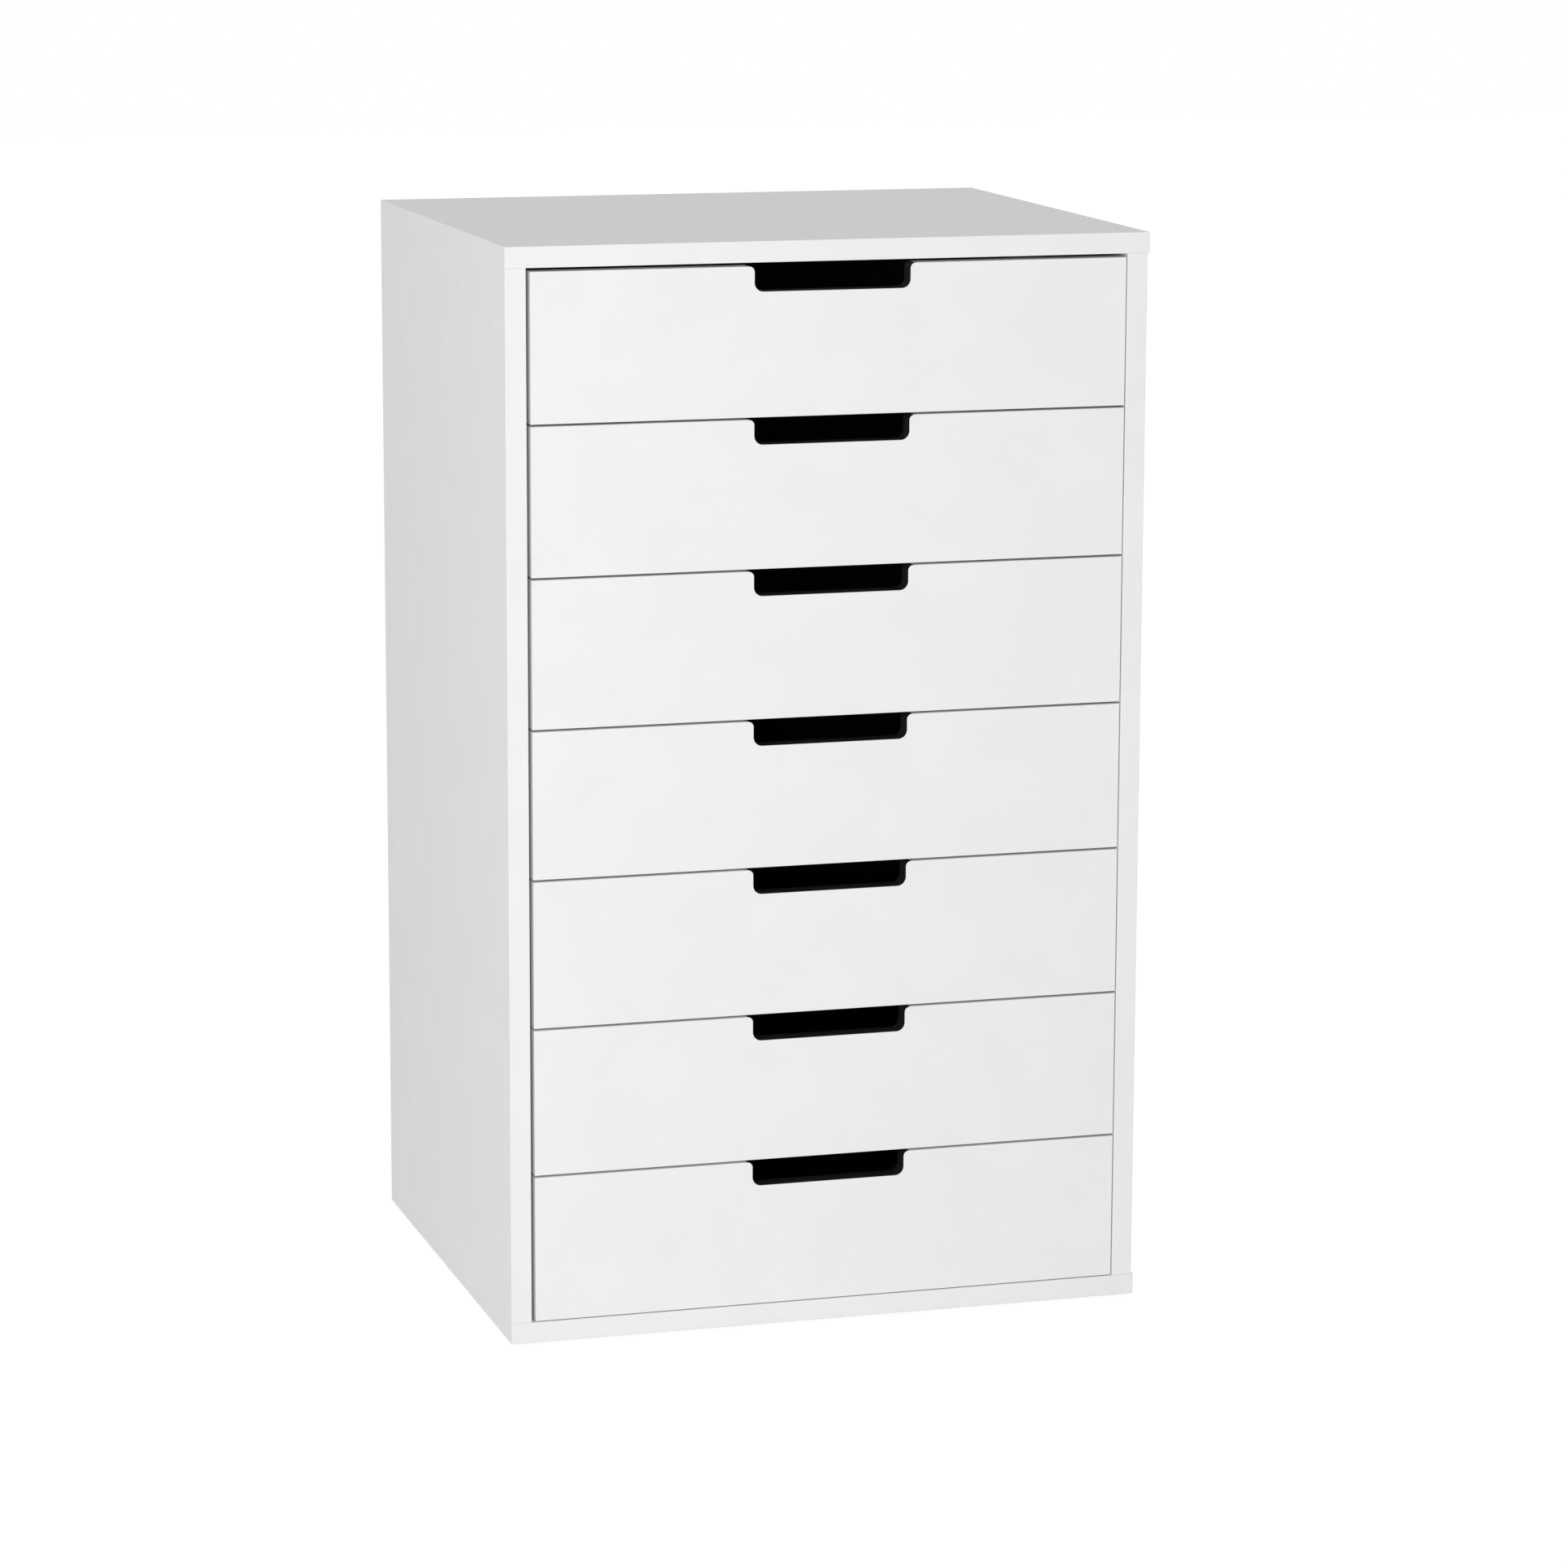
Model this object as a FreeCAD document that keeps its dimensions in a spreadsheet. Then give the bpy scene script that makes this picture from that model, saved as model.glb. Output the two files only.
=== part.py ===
import FreeCAD, Part

import os
import re

import Sketcher

# A tall chest with a column of inset drawers. Each drawer front has a notch in its
# upper edge as a finger grip, and runs on a pair of steel rails with moulded slides.
#
# Frame: +X to the right, +Y to the back, +Z up. The origin is on the floor, under the
# middle of the chest. Every piece is drawn from the chest's left front corner, and a
# drawer's pieces from the lower edge of that drawer's front.

# ---------------------------------------------------------------- driving dimensions
# All in millimetres. Each alias can be changed by itself.
SIZES = {
    # the whole chest
    "overall_width": 600,
    "overall_depth": 510,
    "overall_height": 1000,
    "board": 19,                  # thickness of the four carcass panels
    "right_reveal": 2,            # top and bottom stand out past the right-hand side
    "edge_radius": 0.6,           # eased edges of the faced boards
    "drawer_count": 7,
    # gaps round the drawer fronts
    "top_gap": 3.4,
    "between_gap": 2,
    "bottom_gap": 0.8,
    "left_gap": 3.8,
    "right_gap": 1,
    # drawer front
    "front_thickness": 19,
    "front_setback": 0.5,
    "notch_width": 145,
    "notch_depth": 22.5,
    "notch_corner": 8,            # radius at the foot of the notch
    "notch_shoulder": 5,          # radius where the notch leaves the upper edge
    # drawer box
    "box_lift": 12,               # box above the lower edge of its front
    "box_side": 12,               # thickness of sides and back
    "box_headroom": 28,           # upper edge of the front above the box
    "box_rear_space": 25.5,       # between the box and the chest's back panel
    "box_back_inset": 10,         # back panel before the rear end of the sides
    "housing_depth": 8,           # sides let into the front
    "dado_depth": 5,              # back let into the sides
    "tray_thickness": 3,
    "tray_groove_depth": 6,
    "tray_groove_lift": 10,       # groove above the lower edge of the sides
    "glue_gap": 0.1,              # all round a part let into another
    # back panel of the chest
    "back_thickness": 3,
    "back_inset": 12,
    "back_groove_depth": 8,
    "back_edge_gap": 0.5,
    # runners: a steel channel on the chest, a moulded strip on the drawer
    "runner_space": 12.5,         # between chest side and drawer side
    "rail_gauge": 1.2,
    "rail_inside": 20,            # between the two flanges
    "rail_side_gap": 1.5,         # between the flanges and the drawer side
    "rail_setback": 1.5,          # behind the drawer front
    "rail_rise": 20,              # lower flange above the lower edge of the box
    "strip_screw_gap": 2.1,       # between the strip and the rail's screw heads
    "strip_height": 11,
    "block_length": 70,           # tall slide block at the rear end of the strip
    "running_gap": 0.3,
    "peg_diameter": 5,
    "peg_length": 8,
    "peg_end": 40,                # first and last peg from the strip's ends
    "shoe_length": 40,
    "shoe_height": 4,
    "shoe_pin": 4,
    "rail_screw_end": 70,         # first and last screw from the rail's ends
    # fixings
    "screw_shank": 3.5,
    "screw_length": 14,
    "screw_head": 7,
    "screw_head_height": 1.2,
    "fixing_gap": 0.1,            # all round a fixing in its hole
    "fixing_inset": 50,           # cam bolt from the front and rear edges
    "dowel_spacing": 32,          # dowel from its cam bolt
    "dowel_diameter": 8,
    "dowel_length": 32,
    "dowel_in_panel": 12,
    "cam_diameter": 15,
    "cam_floor": 0.9,             # of the cam, beyond its bolt's bore
    "cam_distance": 34,           # cam's centre from the end of the side panel
    "bolt_diameter": 6,
    "bolt_in_panel": 11,
    # floor glides
    "glide_diameter": 22,
    "glide_height": 3,
    "glide_inset": 30,
    "glide_nail": 3,
    "glide_nail_length": 12,
    # brackets that tie the chest to a wall
    "bracket_width": 20,
    "bracket_gauge": 2,
    "bracket_leg": 25,
    "bracket_drop": 35,
    "bracket_spread": 400,        # between the two brackets
    "bracket_hole": 5,
    "bracket_hole_drop": 20,      # wall hole below the top panel
}

doc = FreeCAD.newDocument("chest_of_drawers")
sheet = doc.addObject("Spreadsheet::Sheet", "dims")
for row, (alias, value) in enumerate(SIZES.items(), start=1):
    sheet.set(f"A{row}", alias)
    sheet.set(f"B{row}", str(value))
    sheet.setAlias(f"B{row}", alias)
doc.recompute()

# ------------------------------------------------------------------- derived places
# Expressions in the aliases. x is from the chest's left face, y from its front, z from
# the floor, or from the lower edge of the drawer front for a drawer's own pieces.
OPEN_LEFT = "board"
OPEN_RIGHT = "(overall_width - right_reveal - board)"
OPEN_BOTTOM = "(glide_height + board)"
OPEN_TOP = "(overall_height - board)"
OPEN_HEIGHT = f"({OPEN_TOP} - {OPEN_BOTTOM})"
GAPS = "(top_gap + bottom_gap + (drawer_count - 1) * between_gap)"
FRONT_WIDTH = f"({OPEN_RIGHT} - {OPEN_LEFT} - left_gap - right_gap)"
FRONT_HEIGHT = f"(({OPEN_HEIGHT} - {GAPS}) / drawer_count)"
PITCH = f"({FRONT_HEIGHT} + between_gap)"
LOWEST_FRONT = f"({OPEN_BOTTOM} + bottom_gap)"
FRONT_REAR = "(front_setback + front_thickness)"
BACK_FACE = "(overall_depth - back_inset - back_thickness)"
BOX_REAR = f"({BACK_FACE} - box_rear_space)"
BOX_HEIGHT = f"({FRONT_HEIGHT} - box_lift - box_headroom)"
BOX_LEFT = f"({OPEN_LEFT} + runner_space)"
BOX_RIGHT = f"({OPEN_RIGHT} - runner_space)"
SIDE_START = f"({FRONT_REAR} - housing_depth + glue_gap)"
DADO_START = f"({BOX_REAR} - box_back_inset - box_side - glue_gap)"
TRAY_SLOT = "(tray_thickness + 2 * glue_gap)"
TRAY_FLOOR = "(box_lift + tray_groove_lift)"
RAIL_FRONT = f"({FRONT_REAR} + rail_setback)"
RAIL_REAR = f"({BOX_REAR} + running_gap)"
RAIL_FLOOR = "(box_lift + rail_rise)"
RAIL_FLANGE = "(runner_space - rail_side_gap)"
STRIP_OUTSIDE = "(rail_gauge + screw_head_height + strip_screw_gap)"
STRIP_FLOOR = f"({RAIL_FLOOR} + shoe_height + running_gap)"
STRIP_MIDDLE = f"({STRIP_FLOOR} + strip_height / 2)"
PEG_PLACES = [f"({RAIL_FRONT} + peg_end)", f"({BOX_REAR} - peg_end)"]
SCREW_PLACES = [f"({RAIL_FRONT} + rail_screw_end)", f"({RAIL_REAR} - rail_screw_end)"]
SCREW_HEIGHT = f"({RAIL_FLOOR} + rail_inside / 2)"
BOLT_PLACES = ["fixing_inset", "(overall_depth - fixing_inset)"]
DOWEL_PLACES = ["(fixing_inset + dowel_spacing)",
                "(overall_depth - fixing_inset - dowel_spacing)"]
SIDE_MIDDLES = ["(board / 2)", "(overall_width - right_reveal - board / 2)"]
BOLT_HOLE = "(bolt_diameter + 2 * fixing_gap)"
CAM_DEPTH = f"((board + {BOLT_HOLE}) / 2 + cam_floor)"
DOWEL_HOLE = "(dowel_diameter + 2 * fixing_gap)"
SCREW_HOLE = "(screw_shank + 2 * fixing_gap)"
BRACKET_MIDDLES = ["((overall_width - bracket_spread) / 2)",
                   "((overall_width + bracket_spread) / 2)"]
BRACKET_SCREW_Y = f"({BACK_FACE} - bracket_leg / 2)"

# The sketch plane across each axis, and whether its normal points along that axis.
PLANES = {"x": ("YZ_Plane", True), "y": ("XZ_Plane", False), "z": ("XY_Plane", True)}
SIDES = ("left", "right")
TOUCH = 1e-4


# ------------------------------------------------------------------ drawing functions
def bound(text):
    """The expression with every alias pointed at the spreadsheet."""
    return re.sub(r"[a-z]\w*", r"dims.\g<0>", text)


def measure(text):
    """The expression's value in millimetres."""
    return float(sheet.evalExpression(bound(text)))


def rectangle(left, low, width, height):
    """Four corners; left and low may be anywhere in the sketch."""
    right = f"({left} + {width})"
    top = f"({low} + {height})"
    return [(left, low), (right, low), (right, top), (left, top)]


def disc(across, up, diameter):
    return (across, up, diameter)


def draw_outline(sketch, corners):
    """A closed outline of straight lines, each corner held by its own expressions."""
    points = [FreeCAD.Vector(measure(u), measure(v), 0) for u, v in corners]
    first = sketch.GeometryCount
    for start, end in zip(points, points[1:] + points[:1]):
        sketch.addGeometry(Part.LineSegment(start, end), False)
    for number, (u, v) in enumerate(corners):
        line = first + number
        following = first + (number + 1) % len(corners)
        sketch.addConstraint(Sketcher.Constraint("Coincident", line, 2, following, 1))
        hold_point(sketch, line, 1, u, v)


def draw_disc(sketch, across, up, diameter):
    centre = FreeCAD.Vector(measure(across), measure(up), 0)
    size = measure(diameter)
    circle = sketch.addGeometry(Part.Circle(centre, FreeCAD.Vector(0, 0, 1), size / 2), False)
    hold_point(sketch, circle, 3, across, up)
    held = sketch.addConstraint(Sketcher.Constraint("Diameter", circle, size))
    sketch.setExpression(f"Constraints[{held}]", bound(diameter))


def hold_point(sketch, curve, point, across, up):
    for kind, text in (("DistanceX", across), ("DistanceY", up)):
        rule = Sketcher.Constraint(kind, -1, 1, curve, point, measure(text))
        held = sketch.addConstraint(rule)
        sketch.setExpression(f"Constraints[{held}]", bound(text))


def new_body(label, height="0"):
    """An empty body whose origin is the chest's left front corner, at a height."""
    body = doc.addObject("PartDesign::Body", label)
    body.Label = label
    body.setExpression(".Placement.Base.x", bound("-overall_width / 2"))
    body.setExpression(".Placement.Base.y", bound("-overall_depth / 2"))
    body.setExpression(".Placement.Base.z", bound(height))
    return body


def origin_feature(body, role):
    return next(item for item in body.Origin.OriginFeatures if item.Role == role)


def new_sketch(body, name, axis, start, shapes):
    """A sketch across the axis at start, with an outline or a disc for each shape."""
    role, along = PLANES[axis]
    sketch = body.newObject("Sketcher::SketchObject", f"{body.Label}_{name}_sketch")
    sketch.AttachmentSupport = [(origin_feature(body, role), "")]
    sketch.MapMode = "FlatFace"
    sign = "" if along else "-1 * "
    sketch.setExpression(".AttachmentOffset.Base.z", bound(f"{sign}({start})"))
    for shape in shapes:
        if isinstance(shape, tuple):
            draw_disc(sketch, *shape)
        else:
            draw_outline(sketch, shape)
    return sketch


def volume(body):
    return body.Tip.Shape.Volume if body.Tip else 0.0


def extrude(body, kind, name, axis, start, length, shapes):
    """A pad or pocket from start towards the axis's positive end."""
    before = volume(body)
    sketch = new_sketch(body, name, axis, start, shapes)
    feature = body.newObject(f"PartDesign::{kind}", f"{body.Label}_{name}")
    feature.Profile = sketch
    feature.setExpression("Length", bound(length))
    # A pad grows along the sketch's normal and a pocket sinks against it.
    feature.Reversed = PLANES[axis][1] != (kind == "Pad")
    doc.recompute()
    change = volume(body) - before
    if (change <= 0) == (kind == "Pad"):
        raise RuntimeError(f"{feature.Label} changed the volume by {change:.3f}")
    return feature


def add(body, name, axis, start, length, shapes):
    return extrude(body, "Pad", name, axis, start, length, shapes)


def cut(body, name, axis, start, length, shapes):
    return extrude(body, "Pocket", name, axis, start, length, shapes)


def repeat_up(body, features):
    """The features once for each drawer, one above the other."""
    pattern = body.newObject("PartDesign::LinearPattern", f"{body.Label}_each_drawer")
    pattern.Originals = features
    pattern.Direction = (origin_feature(body, "Z_Axis"), [""])
    pattern.Mode = "Spacing"
    pattern.setExpression("Offset", bound(PITCH))
    pattern.setExpression("Occurrences", bound("drawer_count"))
    body.Tip = pattern
    doc.recompute()
    return pattern


def round_off(body, name, radius, chosen):
    """A fillet on every edge whose bounding box is chosen."""
    base = body.Tip
    edges = [f"Edge{number}" for number, edge in enumerate(base.Shape.Edges, start=1)
             if chosen(edge.BoundBox)]
    fillet = body.newObject("PartDesign::Fillet", f"{body.Label}_{name}")
    fillet.Base = (base, edges)
    fillet.setExpression("Radius", bound(radius))
    doc.recompute()
    return fillet


def edge_at(across, up):
    """Chooses the edge along y at a place in x and z."""
    x = measure(across)
    z = measure(up)

    def chosen(box):
        centre = box.Center
        straight = box.XLength < TOUCH and box.ZLength < TOUCH
        return straight and abs(centre.x - x) < TOUCH and abs(centre.z - z) < TOUCH
    return chosen


def in_from(side, distance):
    """The x at a distance from the inner face of a side panel towards the middle."""
    if side == "left":
        return f"({OPEN_LEFT} + {distance})"
    return f"({OPEN_RIGHT} - {distance})"


def layer(side, near, far):
    """Start and length in x of a layer between two distances from a side panel."""
    start = in_from(side, near if side == "left" else far)
    return start, f"({far} - {near})"


# ---------------------------------------------------------------------- the carcass
def flat_panel(label, low):
    """Top or bottom panel, over the whole width and depth."""
    body = new_body(label)
    add(body, "board", "z", low, "board", [rectangle("0", "0", "overall_width", "overall_depth")])
    return body


def ease_front(body, setback="0"):
    """Rounds the edges of the face that looks to the front."""
    face = measure(setback)
    round_off(body, "eased_front", "edge_radius", lambda box: box.YMax < face + TOUCH)


def fixing_holes(body, upward):
    """Blind holes for the cam bolts and dowels in a top or bottom panel's inner face."""
    for name, places, hole, deep in (
            ("bolt_holes", BOLT_PLACES, BOLT_HOLE, "bolt_in_panel"),
            ("dowel_holes", DOWEL_PLACES, DOWEL_HOLE, "dowel_in_panel")):
        start = OPEN_TOP if upward else f"({OPEN_BOTTOM} - {deep} - fixing_gap)"
        discs = [disc(x, y, hole) for x in SIDE_MIDDLES for y in places]
        cut(body, name, "z", start, f"({deep} + fixing_gap)", discs)


def back_groove(body, start):
    """The groove that holds the back panel in a top or bottom panel."""
    left = "(board - back_groove_depth)"
    width = f"({OPEN_RIGHT} - board + 2 * back_groove_depth)"
    slot = rectangle(left, f"({BACK_FACE} - glue_gap)", width, "(back_thickness + 2 * glue_gap)")
    cut(body, "back_groove", "z", start, "back_groove_depth", [slot])


def top_panel():
    body = flat_panel("top_panel", OPEN_TOP)
    top = measure("overall_height")
    round_off(body, "eased_edges", "edge_radius",
              lambda box: box.YMax < TOUCH or box.ZMin > top - TOUCH)
    fixing_holes(body, upward=True)
    back_groove(body, OPEN_TOP)
    discs = [disc(x, BRACKET_SCREW_Y, SCREW_HOLE) for x in BRACKET_MIDDLES]
    depth = "(screw_length - bracket_gauge + fixing_gap)"
    cut(body, "bracket_screw_holes", "z", OPEN_TOP, depth, discs)


def bottom_panel():
    body = flat_panel("bottom_panel", "glide_height")
    ease_front(body)
    fixing_holes(body, upward=False)
    back_groove(body, f"({OPEN_BOTTOM} - back_groove_depth)")
    cut(body, "glide_nail_holes", "z", "glide_height", "(glide_nail_length + fixing_gap)",
        glide_discs("(glide_nail + 2 * fixing_gap)"))


def side_panel(side):
    body = new_body(f"{side}_side_panel")
    start, thickness = layer(side, "(-board)", "0")
    add(body, "board", "x", start, thickness,
        [rectangle("0", OPEN_BOTTOM, "overall_depth", OPEN_HEIGHT)])
    ease_front(body)

    start, depth = layer(side, "(-back_groove_depth)", "0")
    slot = rectangle(f"({BACK_FACE} - glue_gap)", OPEN_BOTTOM,
                     "(back_thickness + 2 * glue_gap)", OPEN_HEIGHT)
    cut(body, "back_groove", "x", start, depth, [slot])

    middle = in_from(side, "(-board / 2)")
    bolts = [disc(middle, y, BOLT_HOLE) for y in BOLT_PLACES]
    dowels = [disc(middle, y, DOWEL_HOLE) for y in DOWEL_PLACES]
    dowel_depth = "(dowel_length - dowel_in_panel + fixing_gap)"
    cut(body, "lower_bolt_bores", "z", OPEN_BOTTOM, "cam_distance", bolts)
    cut(body, "upper_bolt_bores", "z", f"({OPEN_TOP} - cam_distance)", "cam_distance", bolts)
    cut(body, "lower_dowel_bores", "z", OPEN_BOTTOM, dowel_depth, dowels)
    cut(body, "upper_dowel_bores", "z", f"({OPEN_TOP} - {dowel_depth})", dowel_depth, dowels)

    start, depth = layer(side, f"(-{CAM_DEPTH} - fixing_gap)", "0")
    cut(body, "cam_bores", "x", start, depth, cam_discs("(cam_diameter + 2 * fixing_gap)"))

    start, depth = layer(side, "(rail_gauge - screw_length - fixing_gap)", "0")
    height = f"({LOWEST_FRONT} + {SCREW_HEIGHT})"
    pilots = cut(body, "rail_screw_pilots", "x", start, depth,
                 [disc(y, height, SCREW_HOLE) for y in SCREW_PLACES])
    repeat_up(body, [pilots])


def back_panel():
    body = new_body("back_panel")
    reach = "(back_groove_depth - back_edge_gap)"
    left = f"({OPEN_LEFT} - {reach})"
    low = f"({OPEN_BOTTOM} - {reach})"
    width = f"({OPEN_RIGHT} - {OPEN_LEFT} + 2 * {reach})"
    height = f"({OPEN_HEIGHT} + 2 * {reach})"
    add(body, "sheet", "y", BACK_FACE, "back_thickness", [rectangle(left, low, width, height)])
    hole_height = f"({OPEN_TOP} - bracket_hole_drop)"
    cut(body, "wall_holes", "y", BACK_FACE, "back_thickness",
        [disc(x, hole_height, "bracket_hole") for x in BRACKET_MIDDLES])


# -------------------------------------------------------------- carcass fixings, feet
def cam_discs(diameter):
    heights = [f"({OPEN_BOTTOM} + cam_distance)", f"({OPEN_TOP} - cam_distance)"]
    return [disc(y, z, diameter) for y in BOLT_PLACES for z in heights]


def cam_locks():
    """Turned locks in the side panels; each has a bore that takes its bolt's end."""
    body = new_body("cam_locks")
    for side in SIDES:
        start, depth = layer(side, f"(-{CAM_DEPTH})", "0")
        add(body, f"{side}_drums", "x", start, depth, cam_discs("cam_diameter"))
    bores = [disc(x, y, BOLT_HOLE) for x in SIDE_MIDDLES for y in BOLT_PLACES]
    reach = "(cam_diameter / 2 + fixing_gap)"
    cut(body, "lower_bores", "z", f"({OPEN_BOTTOM} + cam_distance - {reach})", reach, bores)
    cut(body, "upper_bores", "z", f"({OPEN_TOP} - cam_distance)", reach, bores)


def cam_bolts():
    body = new_body("cam_bolts")
    rods = [disc(x, y, "bolt_diameter") for x in SIDE_MIDDLES for y in BOLT_PLACES]
    length = "(bolt_in_panel + cam_distance - fixing_gap)"
    add(body, "lower", "z", f"({OPEN_BOTTOM} - bolt_in_panel)", length, rods)
    add(body, "upper", "z", f"({OPEN_TOP} + bolt_in_panel - {length})", length, rods)


def carcass_dowels():
    body = new_body("carcass_dowels")
    rods = [disc(x, y, "dowel_diameter") for x in SIDE_MIDDLES for y in DOWEL_PLACES]
    add(body, "lower", "z", f"({OPEN_BOTTOM} - dowel_in_panel)", "dowel_length", rods)
    add(body, "upper", "z", f"({OPEN_TOP} + dowel_in_panel - dowel_length)", "dowel_length", rods)


def glide_discs(diameter):
    places_x = ["glide_inset", "(overall_width - glide_inset)"]
    places_y = ["glide_inset", "(overall_depth - glide_inset)"]
    return [disc(x, y, diameter) for x in places_x for y in places_y]


def floor_glides():
    """Nail-on feet: a plastic disc with its nail."""
    body = new_body("floor_glides")
    add(body, "feet", "z", "0", "glide_height", glide_discs("glide_diameter"))
    add(body, "nails", "z", "glide_height", "glide_nail_length", glide_discs("glide_nail"))


def wall_brackets():
    """Angles under the top panel, each with a hole in line with one in the back panel."""
    body = new_body("wall_brackets")
    corner_y = f"({BACK_FACE} - bracket_leg)"
    drop = f"({OPEN_TOP} - bracket_drop)"
    under = f"({OPEN_TOP} - bracket_gauge)"
    thin = f"({BACK_FACE} - bracket_gauge)"
    angle = [(corner_y, under), (thin, under), (thin, drop),
             (BACK_FACE, drop), (BACK_FACE, OPEN_TOP), (corner_y, OPEN_TOP)]
    for number, middle in enumerate(BRACKET_MIDDLES, start=1):
        add(body, f"angle_{number}", "x", f"({middle} - bracket_width / 2)", "bracket_width",
            [angle])
    cut(body, "wall_holes", "y", thin, "bracket_gauge",
        [disc(x, f"({OPEN_TOP} - bracket_hole_drop)", "bracket_hole") for x in BRACKET_MIDDLES])
    cut(body, "screw_holes", "z", under, "bracket_gauge",
        [disc(x, BRACKET_SCREW_Y, SCREW_HOLE) for x in BRACKET_MIDDLES])


def bracket_screws():
    body = new_body("bracket_screws")
    under = f"({OPEN_TOP} - bracket_gauge)"
    add(body, "shanks", "z", under, "screw_length",
        [disc(x, BRACKET_SCREW_Y, "screw_shank") for x in BRACKET_MIDDLES])
    add(body, "heads", "z", f"({under} - screw_head_height)", "screw_head_height",
        [disc(x, BRACKET_SCREW_Y, "screw_head") for x in BRACKET_MIDDLES])


# ------------------------------------------------------------- runners on the chest
def runner_rails(side):
    """One steel channel for each drawer, open to the middle, with a rear stop."""
    body = new_body(f"{side}_runner_rails")
    floor = f"({LOWEST_FRONT} + {RAIL_FLOOR})"
    under = f"({floor} - rail_gauge)"
    roof = f"({floor} + rail_inside)"
    over = f"({roof} + rail_gauge)"
    back = in_from(side, "0")
    web = in_from(side, "rail_gauge")
    lip = in_from(side, RAIL_FLANGE)
    section = [(back, under), (lip, under), (lip, floor), (web, floor),
               (web, roof), (lip, roof), (lip, over), (back, over)]
    length = f"({RAIL_REAR} - {RAIL_FRONT})"
    channel = add(body, "channel", "y", RAIL_FRONT, length, [section])

    left, width = layer(side, "0", RAIL_FLANGE)
    stop = add(body, "rear_stop", "y", RAIL_REAR, "rail_gauge",
               [rectangle(left, under, width, f"({over} - {under})")])

    start, depth = layer(side, "0", "rail_gauge")
    height = f"({LOWEST_FRONT} + {SCREW_HEIGHT})"
    holes = cut(body, "screw_holes", "x", start, depth,
                [disc(y, height, SCREW_HOLE) for y in SCREW_PLACES])
    pin_hole = cut(body, "shoe_pin_hole", "z", under, "rail_gauge",
                   [shoe_pin_disc(side, "(shoe_pin + 2 * fixing_gap)")])
    repeat_up(body, [channel, stop, holes, pin_hole])


def shoe_pin_disc(side, diameter):
    middle = in_from(side, f"((rail_gauge + {RAIL_FLANGE}) / 2)")
    return disc(middle, f"({RAIL_FRONT} + shoe_length / 2)", diameter)


def runner_shoes():
    """Moulded pads that carry the strips at the front of each rail, and stop them."""
    body = new_body("runner_shoes")
    floor = f"({LOWEST_FRONT} + {RAIL_FLOOR})"
    features = []
    for side in SIDES:
        left, width = layer(side, "rail_gauge", RAIL_FLANGE)
        pad = rectangle(left, RAIL_FRONT, width, "shoe_length")
        features.append(add(body, f"{side}_pad", "z", floor, "shoe_height", [pad]))
        features.append(add(body, f"{side}_pin", "z", f"({floor} - rail_gauge)", "rail_gauge",
                            [shoe_pin_disc(side, "shoe_pin")]))
    repeat_up(body, features)


def runner_screws():
    """Pan-head screws that hold the rails to the side panels."""
    body = new_body("runner_screws")
    height = f"({LOWEST_FRONT} + {SCREW_HEIGHT})"
    features = []
    for side in SIDES:
        start, length = layer(side, "(rail_gauge - screw_length)", "rail_gauge")
        shanks = [disc(y, height, "screw_shank") for y in SCREW_PLACES]
        features.append(add(body, f"{side}_shanks", "x", start, length, shanks))
        start, length = layer(side, "rail_gauge", "(rail_gauge + screw_head_height)")
        heads = [disc(y, height, "screw_head") for y in SCREW_PLACES]
        features.append(add(body, f"{side}_heads", "x", start, length, heads))
    repeat_up(body, features)


# ------------------------------------------------------------------------- a drawer
def drawer_front(name, level):
    body = new_body(f"{name}_front", level)
    left = f"({OPEN_LEFT} + left_gap)"
    add(body, "board", "y", "front_setback", "front_thickness",
        [rectangle(left, "0", FRONT_WIDTH, FRONT_HEIGHT)])

    foot = f"({FRONT_HEIGHT} - notch_depth)"
    notch_left = f"({left} + ({FRONT_WIDTH} - notch_width) / 2)"
    notch_right = f"({notch_left} + notch_width)"
    cut(body, "notch", "y", "front_setback", "front_thickness",
        [rectangle(notch_left, foot, "notch_width", "notch_depth")])
    for place, up, radius in (("foot", foot, "notch_corner"),
                              ("shoulder", FRONT_HEIGHT, "notch_shoulder")):
        corners = [edge_at(notch_left, up), edge_at(notch_right, up)]
        round_off(body, f"notch_{place}", radius,
                  lambda box, corners=corners: any(corner(box) for corner in corners))
    ease_front(body, "front_setback")

    housings = [rectangle(f"({x} - glue_gap)", "(box_lift - glue_gap)",
                          "(box_side + 2 * glue_gap)", f"({BOX_HEIGHT} + 2 * glue_gap)")
                for x in (BOX_LEFT, f"({BOX_RIGHT} - box_side)")]
    cut(body, "side_housings", "y", f"({FRONT_REAR} - housing_depth)", "housing_depth", housings)
    groove = rectangle(f"({BOX_LEFT} + box_side)", f"({TRAY_FLOOR} - glue_gap)",
                       f"({BOX_RIGHT} - {BOX_LEFT} - 2 * box_side)", TRAY_SLOT)
    cut(body, "tray_groove", "y", f"({FRONT_REAR} - tray_groove_depth)", "tray_groove_depth",
        [groove])


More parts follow.
